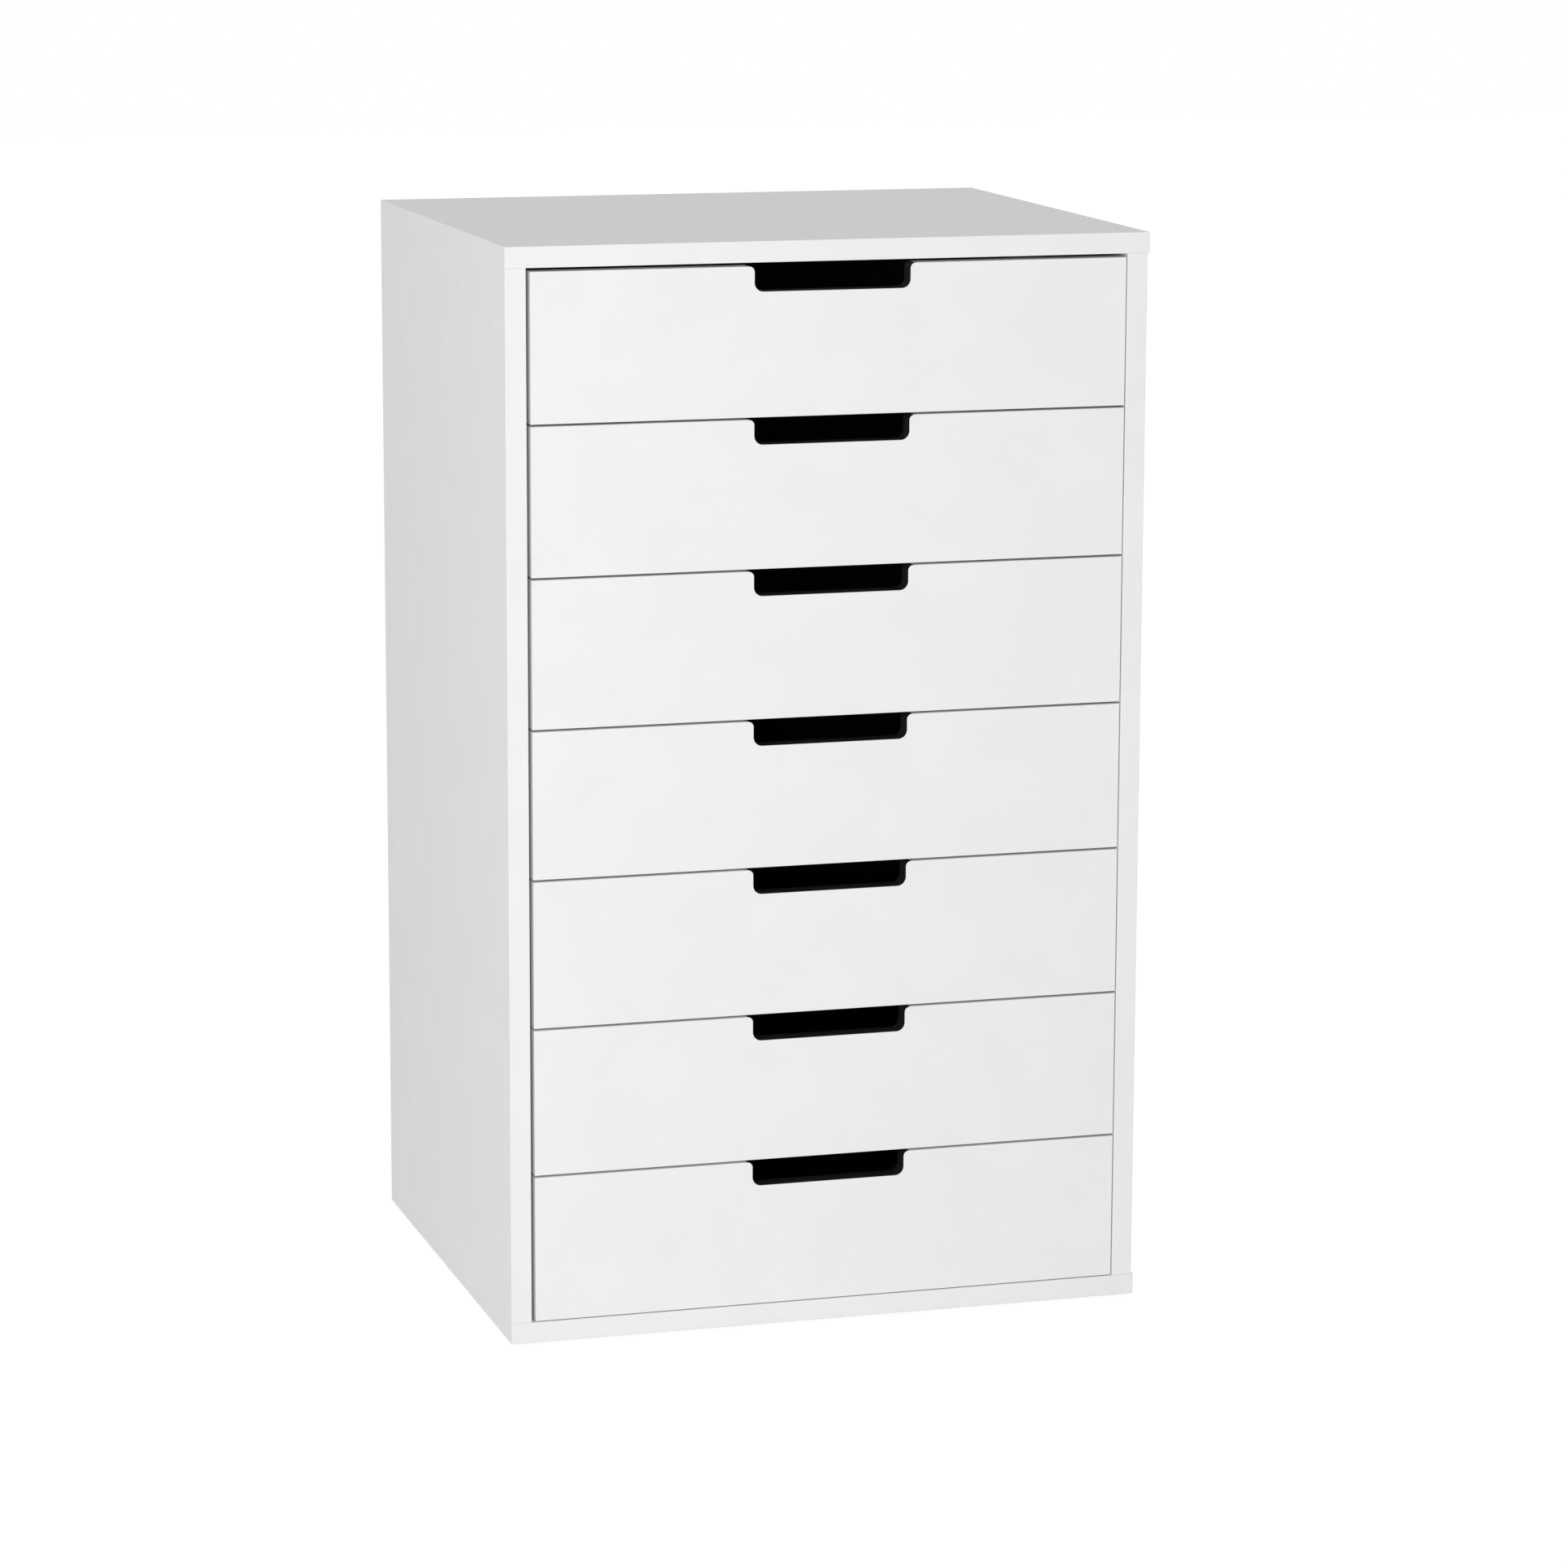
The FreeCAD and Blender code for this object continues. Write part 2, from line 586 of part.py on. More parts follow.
def drawer_side(name, level, side):
    body = new_body(f"{name}_{side}_side", level)
    start, thickness = layer(side, "runner_space", "(runner_space + box_side)")
    length = f"({BOX_REAR} - {SIDE_START})"
    add(body, "board", "x", start, thickness,
        [rectangle(SIDE_START, "box_lift", length, BOX_HEIGHT)])

    inner = "(runner_space + box_side)"
    start, depth = layer(side, f"({inner} - tray_groove_depth)", inner)
    cut(body, "tray_groove", "x", start, depth,
        [rectangle(SIDE_START, f"({TRAY_FLOOR} - glue_gap)", length, TRAY_SLOT)])
    start, depth = layer(side, f"({inner} - dado_depth)", inner)
    cut(body, "back_dado", "x", start, depth,
        [rectangle(DADO_START, "box_lift", "(box_side + 2 * glue_gap)", BOX_HEIGHT)])
    start, depth = layer(side, "runner_space", "(runner_space + peg_length + fixing_gap)")
    cut(body, "peg_holes", "x", start, depth,
        [disc(y, STRIP_MIDDLE, "(peg_diameter + 2 * fixing_gap)") for y in PEG_PLACES])


def drawer_back(name, level):
    """The back stands on the rear edge of the tray, between the sides."""
    body = new_body(f"{name}_back", level)
    left = f"({BOX_LEFT} + box_side - dado_depth + glue_gap)"
    width = f"({BOX_RIGHT} - {BOX_LEFT} - 2 * (box_side - dado_depth + glue_gap))"
    low = f"({TRAY_FLOOR} + tray_thickness + glue_gap)"
    add(body, "board", "y", f"({DADO_START} + glue_gap)", "box_side",
        [rectangle(left, low, width, f"(box_lift + {BOX_HEIGHT} - {low})")])


def drawer_bottom(name, level):
    """The tray slides into its grooves from behind, under the back."""
    body = new_body(f"{name}_bottom", level)
    reach = "(tray_groove_depth - glue_gap)"
    left = f"({BOX_LEFT} + box_side - {reach})"
    width = f"({BOX_RIGHT} - {BOX_LEFT} - 2 * (box_side - {reach}))"
    front = f"({FRONT_REAR} + glue_gap)"
    depth = f"({DADO_START} + glue_gap + box_side - {front})"
    add(body, "sheet", "z", TRAY_FLOOR, "tray_thickness", [rectangle(left, front, width, depth)])
    tongue = rectangle(f"({BOX_LEFT} + box_side + glue_gap)", f"({FRONT_REAR} - {reach})",
                       f"({BOX_RIGHT} - {BOX_LEFT} - 2 * (box_side + glue_gap))",
                       f"({reach} + glue_gap)")
    add(body, "front_tongue", "z", TRAY_FLOOR, "tray_thickness", [tongue])


def runner_strips(name, level):
    """Moulded strips with pegs; the tall block at the rear runs between the flanges."""
    body = new_body(f"{name}_runner_strips", level)
    length = f"({BOX_REAR} - {RAIL_FRONT})"
    for side in SIDES:
        start, width = layer(side, STRIP_OUTSIDE, "runner_space")
        add(body, f"{side}_strip", "x", start, width,
            [rectangle(RAIL_FRONT, STRIP_FLOOR, length, "strip_height")])
        add(body, f"{side}_block", "x", start, width,
            [rectangle(f"({BOX_REAR} - block_length)", f"({RAIL_FLOOR} + running_gap)",
                       "block_length", "(rail_inside - 2 * running_gap)")])
        start, depth = layer(side, "runner_space", "(runner_space + peg_length)")
        add(body, f"{side}_pegs", "x", start, depth,
            [disc(y, STRIP_MIDDLE, "peg_diameter") for y in PEG_PLACES])


def drawer(number):
    """All the pieces of a drawer; number 1 is at the top."""
    name = f"drawer_{number}"
    level = f"({LOWEST_FRONT} + (drawer_count - {number}) * {PITCH})"
    drawer_front(name, level)
    for side in SIDES:
        drawer_side(name, level, side)
    drawer_back(name, level)
    drawer_bottom(name, level)
    runner_strips(name, level)


# ------------------------------------------------------------- build, check and write
top_panel()
bottom_panel()
for side in SIDES:
    side_panel(side)
    runner_rails(side)
back_panel()
runner_shoes()
runner_screws()
cam_locks()
cam_bolts()
carcass_dowels()
floor_glides()
wall_brackets()
bracket_screws()
for number in range(1, round(measure("drawer_count")) + 1):
    drawer(number)
doc.recompute()

for item in doc.Objects:
    if "Invalid" in item.State or "Error" in item.State:
        raise RuntimeError(f"{item.Label} failed: {item.State}")
bodies = [item for item in doc.Objects if item.TypeId == "PartDesign::Body"]
for body in bodies:
    if body.Shape.isNull() or not body.Shape.isValid():
        raise RuntimeError(f"{body.Label} has no valid shape")

os.makedirs("parts", exist_ok=True)
for body in bodies:
    body.Shape.exportStep(f"parts/{body.Label}.step")
travel = measure(f"{BOX_REAR} - block_length - {RAIL_FRONT} - shoe_length")
print(f"{len(bodies)} nodes, {sum(len(body.Shape.Solids) for body in bodies)} solids,",
      f"front height {measure(FRONT_HEIGHT):.3f} mm, drawer travel {travel:.1f} mm")
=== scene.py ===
# %% [markdown]
# A tall white chest of drawers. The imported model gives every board, runner and screw at
# its real size and place. This lesson gives each of them its finish, adds the small
# shapes that the eye looks for on real fittings, and sets up a plain bright studio.

# %% The fixed frame
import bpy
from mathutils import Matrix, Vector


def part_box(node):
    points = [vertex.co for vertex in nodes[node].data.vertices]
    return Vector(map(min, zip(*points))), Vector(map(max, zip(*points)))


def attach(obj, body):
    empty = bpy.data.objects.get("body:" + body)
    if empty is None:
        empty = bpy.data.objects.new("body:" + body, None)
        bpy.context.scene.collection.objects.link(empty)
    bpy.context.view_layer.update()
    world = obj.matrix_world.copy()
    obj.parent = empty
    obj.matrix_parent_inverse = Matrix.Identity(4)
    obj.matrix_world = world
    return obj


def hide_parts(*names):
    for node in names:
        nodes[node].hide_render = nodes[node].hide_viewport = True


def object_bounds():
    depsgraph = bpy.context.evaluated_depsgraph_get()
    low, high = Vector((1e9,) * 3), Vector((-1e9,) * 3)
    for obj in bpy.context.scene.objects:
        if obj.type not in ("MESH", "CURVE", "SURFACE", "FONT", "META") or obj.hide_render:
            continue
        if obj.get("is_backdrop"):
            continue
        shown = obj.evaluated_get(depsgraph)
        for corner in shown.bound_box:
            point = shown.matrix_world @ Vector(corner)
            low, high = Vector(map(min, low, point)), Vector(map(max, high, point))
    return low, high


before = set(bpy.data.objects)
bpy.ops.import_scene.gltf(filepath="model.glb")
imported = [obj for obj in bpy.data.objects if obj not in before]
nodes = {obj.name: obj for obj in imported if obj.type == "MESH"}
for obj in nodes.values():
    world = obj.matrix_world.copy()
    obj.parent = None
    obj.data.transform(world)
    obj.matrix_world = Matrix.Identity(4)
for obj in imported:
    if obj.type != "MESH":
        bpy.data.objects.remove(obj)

cad_low, cad_high = (list(corner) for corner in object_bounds())
print("CAD box in metres:", cad_low, cad_high)

# %% The tools of the lesson
import math

import bmesh
import bpy
from mathutils import Matrix, Vector

MM = 0.001
NEAR = 0.1 * MM  # two heights closer than this are the same height
EDGE_ROOM = 0.3  # a face this close to an edge, in mm, is at the edge
QUARTER = math.radians(90)
SIDEWAYS = (0, QUARTER, 0)  # lays a rod or a sheet over, towards +x
bpy.ops.object.select_all(action="DESELECT")

# %% [markdown]
# Colours are written as the eye names them, in sRGB hex. A shader wants linear light, so
# one function does the turning, and every colour in the file goes through it.


# %% From a hex colour to linear light
def linear(hex_colour):
    """'#rrggbb' as linear red, green, blue and an alpha of 1."""
    channels = [int(hex_colour[place:place + 2], 16) / 255 for place in (1, 3, 5)]
    return [c / 12.92 if c <= 0.04045 else ((c + 0.055) / 1.055) ** 2.4
            for c in channels] + [1.0]


print("mid grey #808080 is", [round(c, 3) for c in linear("#808080")], "in linear light")

# %% [markdown]
# Every material here is a small tree of nodes. One function adds a node, sets its
# options, and fills its inputs with a value or with another node's output.


# %% One function for every node
def add_node(tree, kind, inputs=None, **options):
    made = tree.nodes.new(kind)
    for name, value in options.items():
        setattr(made, name, value)
    for socket, value in (inputs or {}).items():
        if isinstance(value, bpy.types.NodeSocket):
            tree.links.new(value, made.inputs[socket])
        else:
            made.inputs[socket].default_value = value
    return made


def new_material(name, **surface):
    """A material with a Principled surface; surface gives its plain settings."""
    material = bpy.data.materials.new(name)
    material.use_nodes = True
    tree = material.node_tree
    shader = tree.nodes["Principled BSDF"]
    for socket, value in surface.items():
        shader.inputs[socket.replace("_", " ")].default_value = value
    return material, tree, shader


def per_metre(size_mm):
    """A texture scale that makes its cells about size_mm across."""
    return 1 / (size_mm * MM)


# %% [markdown]
# Two patterns come up again and again. Speckle is a soft cloud of light and dark, which
# stands for the uneven ink of a printed foil or the fibres of a pressed board. Grain is a
# very shallow bump that breaks up reflections, as a matt film or a powder coat does.


# %% Speckle and grain
def object_place(tree):
    return add_node(tree, "ShaderNodeTexCoord").outputs["Object"]


def speckle(tree, size_mm, dark, light, detail=3.0, stretch=(1.0, 1.0, 1.0)):
    """A colour that drifts between two hex colours over spots of a real size."""
    placed = add_node(tree, "ShaderNodeMapping", {"Vector": object_place(tree), "Scale": stretch})
    noise = add_node(tree, "ShaderNodeTexNoise",
                     {"Vector": placed.outputs[0], "Scale": per_metre(size_mm), "Detail": detail})
    spread = add_node(tree, "ShaderNodeMapRange",
                      {"Value": noise.outputs["Fac"], "From Min": 0.35, "From Max": 0.65})
    mixed = add_node(tree, "ShaderNodeMix",
                     {"Factor": spread.outputs[0], 6: linear(dark), 7: linear(light)},
                     data_type="RGBA")
    return mixed.outputs[2]


def grain(tree, shader, size_mm, height_mm, strength=1.0):
    """A shallow bump of soft grains, height_mm deep."""
    noise = add_node(tree, "ShaderNodeTexNoise",
                     {"Vector": object_place(tree), "Scale": per_metre(size_mm), "Detail": 2.0})
    bump = add_node(tree, "ShaderNodeBump",
                    {"Height": noise.outputs["Fac"], "Distance": height_mm * MM,
                     "Strength": strength})
    tree.links.new(bump.outputs[0], shader.inputs["Normal"])


# %% [markdown]
# The carcass and the drawer fronts are particle board faced with a white paper foil. The
# film is smooth and satin, with a faint orange peel that only shows in a reflection. Where
# a panel was sawn and not edged, at the back, the pressed chips show.


# %% White foil on particle board
FOIL_WHITE = ("#eeeeee", "#f0f0f0")
SATIN = 0.55
INK_CLOUD = 60  # the ink of a foil or a paint drifts over spots of this size, in mm
PEEL, PEEL_DEEP = 0.8, 0.006
CHIP = 1.6
CHIP_DARK, CHIP_LIGHT = "#9c7f5b", "#d3b88e"


def sawn_mask(tree, rear_mm):
    """1 on faces that look to the back at the rear edge, 0 elsewhere."""
    where = add_node(tree, "ShaderNodeSeparateXYZ", {0: object_place(tree)})
    facing = add_node(tree, "ShaderNodeNewGeometry")
    normal = add_node(tree, "ShaderNodeSeparateXYZ", {0: facing.outputs["Normal"]})
    backward = add_node(tree, "ShaderNodeMath", {0: normal.outputs["Y"], 1: 0.9},
                        operation="GREATER_THAN")
    rearmost = add_node(tree, "ShaderNodeMath", {0: where.outputs["Y"],
                         1: (rear_mm - EDGE_ROOM) * MM},
                        operation="GREATER_THAN")
    both = add_node(tree, "ShaderNodeMath", {0: backward.outputs[0], 1: rearmost.outputs[0]},
                    operation="MULTIPLY")
    return both.outputs[0]


def chipboard(tree):
    """Pressed chips: flat cells, each in its own brown."""
    chips = add_node(tree, "ShaderNodeTexVoronoi",
                     {"Vector": object_place(tree), "Scale": per_metre(CHIP)})
    tone = add_node(tree, "ShaderNodeSeparateXYZ", {0: chips.outputs["Color"]})
    mixed = add_node(tree, "ShaderNodeMix",
                     {"Factor": tone.outputs["X"], 6: linear(CHIP_DARK), 7: linear(CHIP_LIGHT)},
                     data_type="RGBA")
    return mixed.outputs[2]


def foil_board(name, colours, roughness, cut_or_shaded_faces, cut_or_shade_look):
    """Foil all over, but on the cut faces the look of the cut, or a painted shade."""
    material, tree, shader = new_material(name, Roughness=roughness, IOR=1.45,
                                          Specular_IOR_Level=0.35)
    # On the masked faces the foil gives way: to sawn chips, or to painted shade in a notch.
    mixed = add_node(tree, "ShaderNodeMix",
                     {"Factor": cut_or_shaded_faces(tree), 6: speckle(tree, INK_CLOUD, *colours),
                      7: cut_or_shade_look(tree)}, data_type="RGBA")
    tree.links.new(mixed.outputs[2], shader.inputs["Base Color"])
    grain(tree, shader, PEEL, PEEL_DEEP)
    return material


rear_of_carcass = cad_high[1] / MM
white_board = foil_board("white_foil_on_particle_board", FOIL_WHITE, SATIN,
                         lambda tree: sawn_mask(tree, rear_of_carcass), chipboard)
print("sawn edges begin at y =", rear_of_carcass, "mm")

# %% [markdown]
# The drawer boxes are thinner board wrapped in a charcoal foil. Almost no light gets
# back out of a dark box through the narrow notch, so the notches read as black.

# %% Charcoal foil for the drawer boxes
CHARCOAL = ("#1d1e20", "#232427")
rear_of_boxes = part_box("drawer_1_left_side")[1].y / MM
dark_board = foil_board("charcoal_foil_on_thin_board", CHARCOAL, SATIN,
                        lambda tree: sawn_mask(tree, rear_of_boxes), chipboard)
print("drawer boxes end at y =", round(rear_of_boxes, 1), "mm")

# %% [markdown]
# The fronts have the same white foil as the carcass. The notch is cut through it, and its
# cut faces are painted charcoal as painted shade, so the recess reads dark with no pale rim
# round the hole. Those faces are found by place, since every front is the same above its
# own lower edge, and by the way they face, since all of them look across or up.

# %% White fronts with painted shade in the notch
NOTCH_WIDTH, NOTCH_DEPTH, NOTCH_SHOULDER = 145, 22.5, 5
front_low, front_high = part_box("drawer_1_front")
lowest_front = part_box("drawer_7_front")[0].z
pitch = front_low.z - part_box("drawer_2_front")[0].z
notch_foot = front_high.z - front_low.z - NOTCH_DEPTH * MM


def notch_shade_mask(tree):
    """1 on the cut faces of every front's notch, where shade is painted, 0 elsewhere."""
    where = add_node(tree, "ShaderNodeSeparateXYZ", {0: object_place(tree)})
    aside = add_node(tree, "ShaderNodeMath",
                     {0: where.outputs["X"], 1: (front_low.x + front_high.x) / 2,
                      2: (NOTCH_WIDTH / 2 + NOTCH_SHOULDER) * MM}, operation="COMPARE")
    height = add_node(tree, "ShaderNodeMath", {0: where.outputs["Z"], 1: lowest_front},
                      operation="SUBTRACT")
    in_front = add_node(tree, "ShaderNodeMath", {0: height.outputs[0], 1: pitch},
                        operation="MODULO")
    raised = add_node(tree, "ShaderNodeMath",
                      {0: in_front.outputs[0], 1: notch_foot - EDGE_ROOM * MM},
                      operation="GREATER_THAN")
    facing = add_node(tree, "ShaderNodeNewGeometry")
    normal = add_node(tree, "ShaderNodeSeparateXYZ", {0: facing.outputs["Normal"]})
    across = add_node(tree, "ShaderNodeMath", {0: normal.outputs["Y"], 1: 0.0, 2: 0.5},
                      operation="COMPARE")
    placed = add_node(tree, "ShaderNodeMath", {0: aside.outputs[0], 1: raised.outputs[0]},
                      operation="MULTIPLY")
    return add_node(tree, "ShaderNodeMath", {0: placed.outputs[0], 1: across.outputs[0]},
                    operation="MULTIPLY").outputs[0]


# Painted shade: a charcoal film that darkens the notch's cut faces.
def painted_notch_shade(tree):
    return speckle(tree, INK_CLOUD, *CHARCOAL)


# The fronts: white foil, with painted shade on the cut faces of the notch.
front_board_with_painted_notch_shade = foil_board("white_foil_front_with_charcoal_notch", FOIL_WHITE, SATIN,
                         notch_shade_mask, painted_notch_shade)
print("a front every", round(pitch / MM, 1), "mm, notch foot at", round(notch_foot / MM, 1))

# %% [markdown]
# Hardboard is fibre pressed to a hard sheet. The face that was meant to be seen is
# painted, and the other keeps the brown fibre with the print of the press screen.


# %% Hardboard, painted on one face
FIBRE, FIBRE_DARK, FIBRE_LIGHT = 4, "#8a6a48", "#a98862"
SCREEN, SCREEN_DEEP = 1.5, 0.02


def hardboard(name, paint, painted_axis, painted_sign):
    """Painted on the face that looks along a signed axis, and brown fibre elsewhere."""
    material, tree, shader = new_material(name, Roughness=0.6, IOR=1.5)
    facing = add_node(tree, "ShaderNodeNewGeometry")
    normal = add_node(tree, "ShaderNodeSeparateXYZ", {0: facing.outputs["Normal"]})
    signed = add_node(tree, "ShaderNodeMath",
                      {0: normal.outputs[painted_axis], 1: painted_sign}, operation="MULTIPLY")
    painted = add_node(tree, "ShaderNodeMath", {0: signed.outputs[0], 1: 0.5},
                       operation="GREATER_THAN")
    fibre = speckle(tree, FIBRE, FIBRE_DARK, FIBRE_LIGHT, detail=8.0)
    film = speckle(tree, INK_CLOUD, *paint)
    mixed = add_node(tree, "ShaderNodeMix", {"Factor": painted.outputs[0], 6: fibre, 7: film},
                     data_type="RGBA")
    tree.links.new(mixed.outputs[2], shader.inputs["Base Color"])
    grain(tree, shader, SCREEN, SCREEN_DEEP)
    return material


back_sheet = hardboard("hardboard_white_inside", FOIL_WHITE, "Y", -1.0)
tray_sheet = hardboard("hardboard_charcoal_inside", CHARCOAL, "Z", 1.0)
print("hardboard:", back_sheet.name, tray_sheet.name)

# %% [markdown]
# The fittings are what a hardware box holds. Powder coat on steel is a satin white with a
# fine pebbled skin. Moulded nylon is a warmer, slightly yellow white. Zinc plate is a
# bright, cool metal, and a zinc casting is a greyer one with a rougher skin. Turned beech
# is pale and matt, with streaks along its fibres. The patterns are a little coarser than
# the real ones, so that they show at all.


# %% Powder coat, nylon, zinc and beech
def plain_finish(name, dark, light, spot_mm, grain_mm, depth_mm, **surface):
    material, tree, shader = new_material(name, **surface)
    tree.links.new(speckle(tree, spot_mm, dark, light), shader.inputs["Base Color"])
    grain(tree, shader, grain_mm, depth_mm)
    return material


powder_coat = plain_finish("white_powder_coat_on_steel", "#dededc", "#e6e6e4", 20, 0.9, 0.02,
                           Roughness=0.35, IOR=1.5)
nylon = plain_finish("moulded_nylon", "#dcdbd5", "#e4e3de", 15, 0.6, 0.008,
                     Roughness=0.4, IOR=1.53)
zinc_plate = plain_finish("bright_zinc_plate", "#b4b7ba", "#c8cbcf", 3, 0.5, 0.005,
                          Metallic=1.0, Roughness=0.28)
zinc_casting = plain_finish("zinc_die_casting", "#8d9093", "#a2a5a8", 2, 0.5, 0.02,
                            Metallic=1.0, Roughness=0.45)
print("fittings:", [m.name for m in (powder_coat, nylon, zinc_plate, zinc_casting)])


def beech_wood():
    """Pale wood whose fibres run up the dowel, so the pattern is stretched along z."""
    material, tree, shader = new_material("turned_beech", Roughness=0.6, IOR=1.5)
    streaks = speckle(tree, 0.8, "#b98f5f", "#d5b184", stretch=(1.0, 1.0, 0.08))
    tree.links.new(streaks, shader.inputs["Base Color"])
    grain(tree, shader, 0.5, 0.03)
    return material


beech = beech_wood()

# %% [markdown]
# Each node has one material slot, and takes the finish of the piece it stands for. A
# drawer's parts have the drawer's number in their names, so the last words decide.

# %% Finishes on the nodes
FINISH_BY_ENDING = {
    "top_panel": white_board,
    "bottom_panel": white_board,
    "side_panel": white_board,
    "back_panel": back_sheet,
    "runner_rails": powder_coat,
    "runner_shoes": nylon,
    "runner_strips": nylon,
    "floor_glides": nylon,
    "runner_screws": zinc_plate,
    "bracket_screws": zinc_plate,
    "cam_bolts": zinc_plate,
    "cam_locks": zinc_casting,
    "carcass_dowels": beech,
    "wall_brackets": powder_coat,
    # the fronts carry painted shade on the cut faces of their notches
    "_front": front_board_with_painted_notch_shade,
    "_side": dark_board,
    "_back": dark_board,
    "_bottom": tray_sheet,
}


def finish_of(name):
    return next(finish for ending, finish in FINISH_BY_ENDING.items() if name.endswith(ending))


for name, piece in nodes.items():
    piece.data.materials.clear()
    piece.data.materials.append(finish_of(name))
print("finished nodes:", len(nodes))

# %% [markdown]
# The fittings are small, but an open drawer shows them, and a plain cylinder or a sharp
# fold looks wrong at once. Each is modelled once, in a frame of its own, then copied to
# every place that the imported model gives it. The places are the boxes of the
# separate solids in a node, found by walking along their edges.


# %% Where each solid of a node is
def solids_in(name):
    """Lowest and highest corner of each solid in a CAD node."""
    shape = bmesh.new()
    shape.from_mesh(nodes[name].data)
    bmesh.ops.remove_doubles(shape, verts=shape.verts, dist=0.001 * MM)
    waiting = set(shape.verts)
    boxes = []
    while waiting:
        solid = [waiting.pop()]
        for corner in solid:
            reached = {edge.other_vert(corner) for edge in corner.link_edges} & waiting
            waiting -= reached
            solid.extend(reached)
        places = [corner.co.copy() for corner in solid]
        boxes.append((Vector(map(min, zip(*places))), Vector(map(max, zip(*places)))))
    shape.free()
    return sorted(boxes, key=lambda box: tuple(box[0]))


print("screws on the rails:", len(solids_in("runner_screws")))

# %% [markdown]
# In edit mode an operator acts on all that is selected. So one helper clears the
# selection and then picks faces, edges or corners by a rule about their place.


# %% Choosing by place, and starting from a block, a rod or a sheet
def choose(kind, wanted):
    """In edit mode, selects what wanted says yes to, and nothing else."""
    bpy.ops.mesh.select_mode(type=kind)
    bpy.ops.mesh.select_all(action="DESELECT")
    mesh = bpy.context.edit_object.data
    shape = bmesh.from_edit_mesh(mesh)
    for part in {"VERT": shape.verts, "EDGE": shape.edges, "FACE": shape.faces}[kind]:
        if wanted(part):
            part.select_set(True)
    bmesh.update_edit_mesh(mesh)


def middle_of(part):
    """The middle of an edge or a face."""
    return sum((corner.co for corner in part.verts), Vector()) / len(part.verts)


def settle(name):
    """Names the new primitive and puts its place, turn and size into its mesh."""
    piece = bpy.context.object
    piece.name = name
    bpy.ops.object.transform_apply(location=True, rotation=True, scale=True)
    return piece


def add_block(name, low, high):
    bpy.ops.object.select_all(action="DESELECT")
    low, high = Vector(low), Vector(high)
    bpy.ops.mesh.primitive_cube_add(size=1, location=(low + high) / 2, scale=high - low)
    return settle(name)


def add_rod(name, foot, diameter, length, corners=32, turn=(0, 0, 0)):
    """A rod from its foot along its own z, which turn may lay over."""
    bpy.ops.object.select_all(action="DESELECT")
    along = Matrix.Rotation(turn[1], 3, "Y") @ Matrix.Rotation(turn[0], 3, "X")
    centre = Vector(foot) + along @ Vector((0, 0, length / 2))
    bpy.ops.mesh.primitive_cylinder_add(vertices=corners, radius=diameter / 2, depth=length,
                                        location=centre, rotation=turn)
    return settle(name)


def add_sheet(name, width, length, middle, turn=(0, 0, 0)):
    """A flat sheet, width along its own x and length along its own y."""
    bpy.ops.object.select_all(action="DESELECT")
    bpy.ops.mesh.primitive_plane_add(size=1, location=middle, rotation=turn)
    bpy.context.object.scale = (width, length, 1)
    return settle(name)


# %% [markdown]
# A shape is finished by modifiers, which are applied at once. Taking a cutter out, rounding
# the sharp edges and joining loose pieces are all that these fittings need.


# %% Finishing by modifiers
BEVEL_ABOVE, SMOOTH_BELOW = math.radians(40), math.radians(35)


def make_active(piece):
    bpy.ops.object.select_all(action="DESELECT")
    piece.select_set(True)
    bpy.context.view_layer.objects.active = piece


def apply_modifier(piece, kind, **settings):
    modifier = piece.modifiers.new(kind.lower(), kind)
    for name, value in settings.items():
        setattr(modifier, name, value)
    make_active(piece)
    bpy.ops.object.modifier_apply(modifier=modifier.name)


def carve(piece, cutter):
    """Takes the cutter's shape out of the piece."""
    apply_modifier(piece, "BOOLEAN", operation="DIFFERENCE", object=cutter)
    bpy.data.objects.remove(cutter)


def soften(piece, radius, steps=2):
    """Rounds every sharp edge by a small radius, then shades across it."""
    apply_modifier(piece, "BEVEL", width=radius, segments=steps, limit_method="ANGLE",
                   angle_limit=BEVEL_ABOVE)
    make_active(piece)
    bpy.ops.object.shade_smooth_by_angle(angle=SMOOTH_BELOW)


def join_all(name, pieces):
    make_active(pieces[0])
    for piece in pieces[1:]:
        piece.select_set(True)
    bpy.ops.object.join()
    pieces[0].name = name
    return pieces[0]


# %% [markdown]
# A finished model goes to all of its places as copies. Each copy rides on the body of the
# node that it replaces. The fittings of the right-hand side are mirror images.


# %% Copies in their places
def place_copies(model, node, finish, moves):
    """A copy of the model for each (body, move), each with its own mesh."""
    for number, (body, move) in enumerate(moves, start=1):
        mesh = model.data.copy()
        mesh.transform(move)
        if move.determinant() < 0:
            mesh.flip_normals()
        mesh.materials.clear()
        mesh.materials.append(finish)
        piece = bpy.data.objects.new(f"shaped_{node}_{number}", mesh)
        bpy.context.scene.collection.objects.link(piece)
        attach(piece, body)
        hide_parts(node)
    print(node, len(moves), "copies of", len(model.data.polygons), "faces")


def onto(low, high):
    """Moves a model into a solid's box; on the right-hand side it is mirrored."""
    if (low.x + high.x) / 2 < 0:
        return Matrix.Translation(low)
    mirror = Matrix.Scale(-1, 4, (1, 0, 0))
    return Matrix.Translation((high.x, low.y, low.z)) @ mirror


# %% [markdown]
# A pan-head screw: a low domed head with a cross recess, and a shank that tapers to a
# point. The head starts as a short rod with its upper rim bevelled into a dome. Two thin
# blocks cut the cross. The shank is the underside drawn out.

# %% A pan-head screw
HEAD, HEAD_HEIGHT = 7 * MM, 1.2 * MM
SHANK, SCREW_LENGTH, POINT = 3.5 * MM, 14 * MM, 3 * MM
CROSS_LONG, CROSS_WIDE, CROSS_DEEP = 3.8 * MM, 0.9 * MM, 0.8 * MM
DOME_SHARE, TIP_SHARE = 0.75, 0.15  # of the head's height, and of the shank's diameter


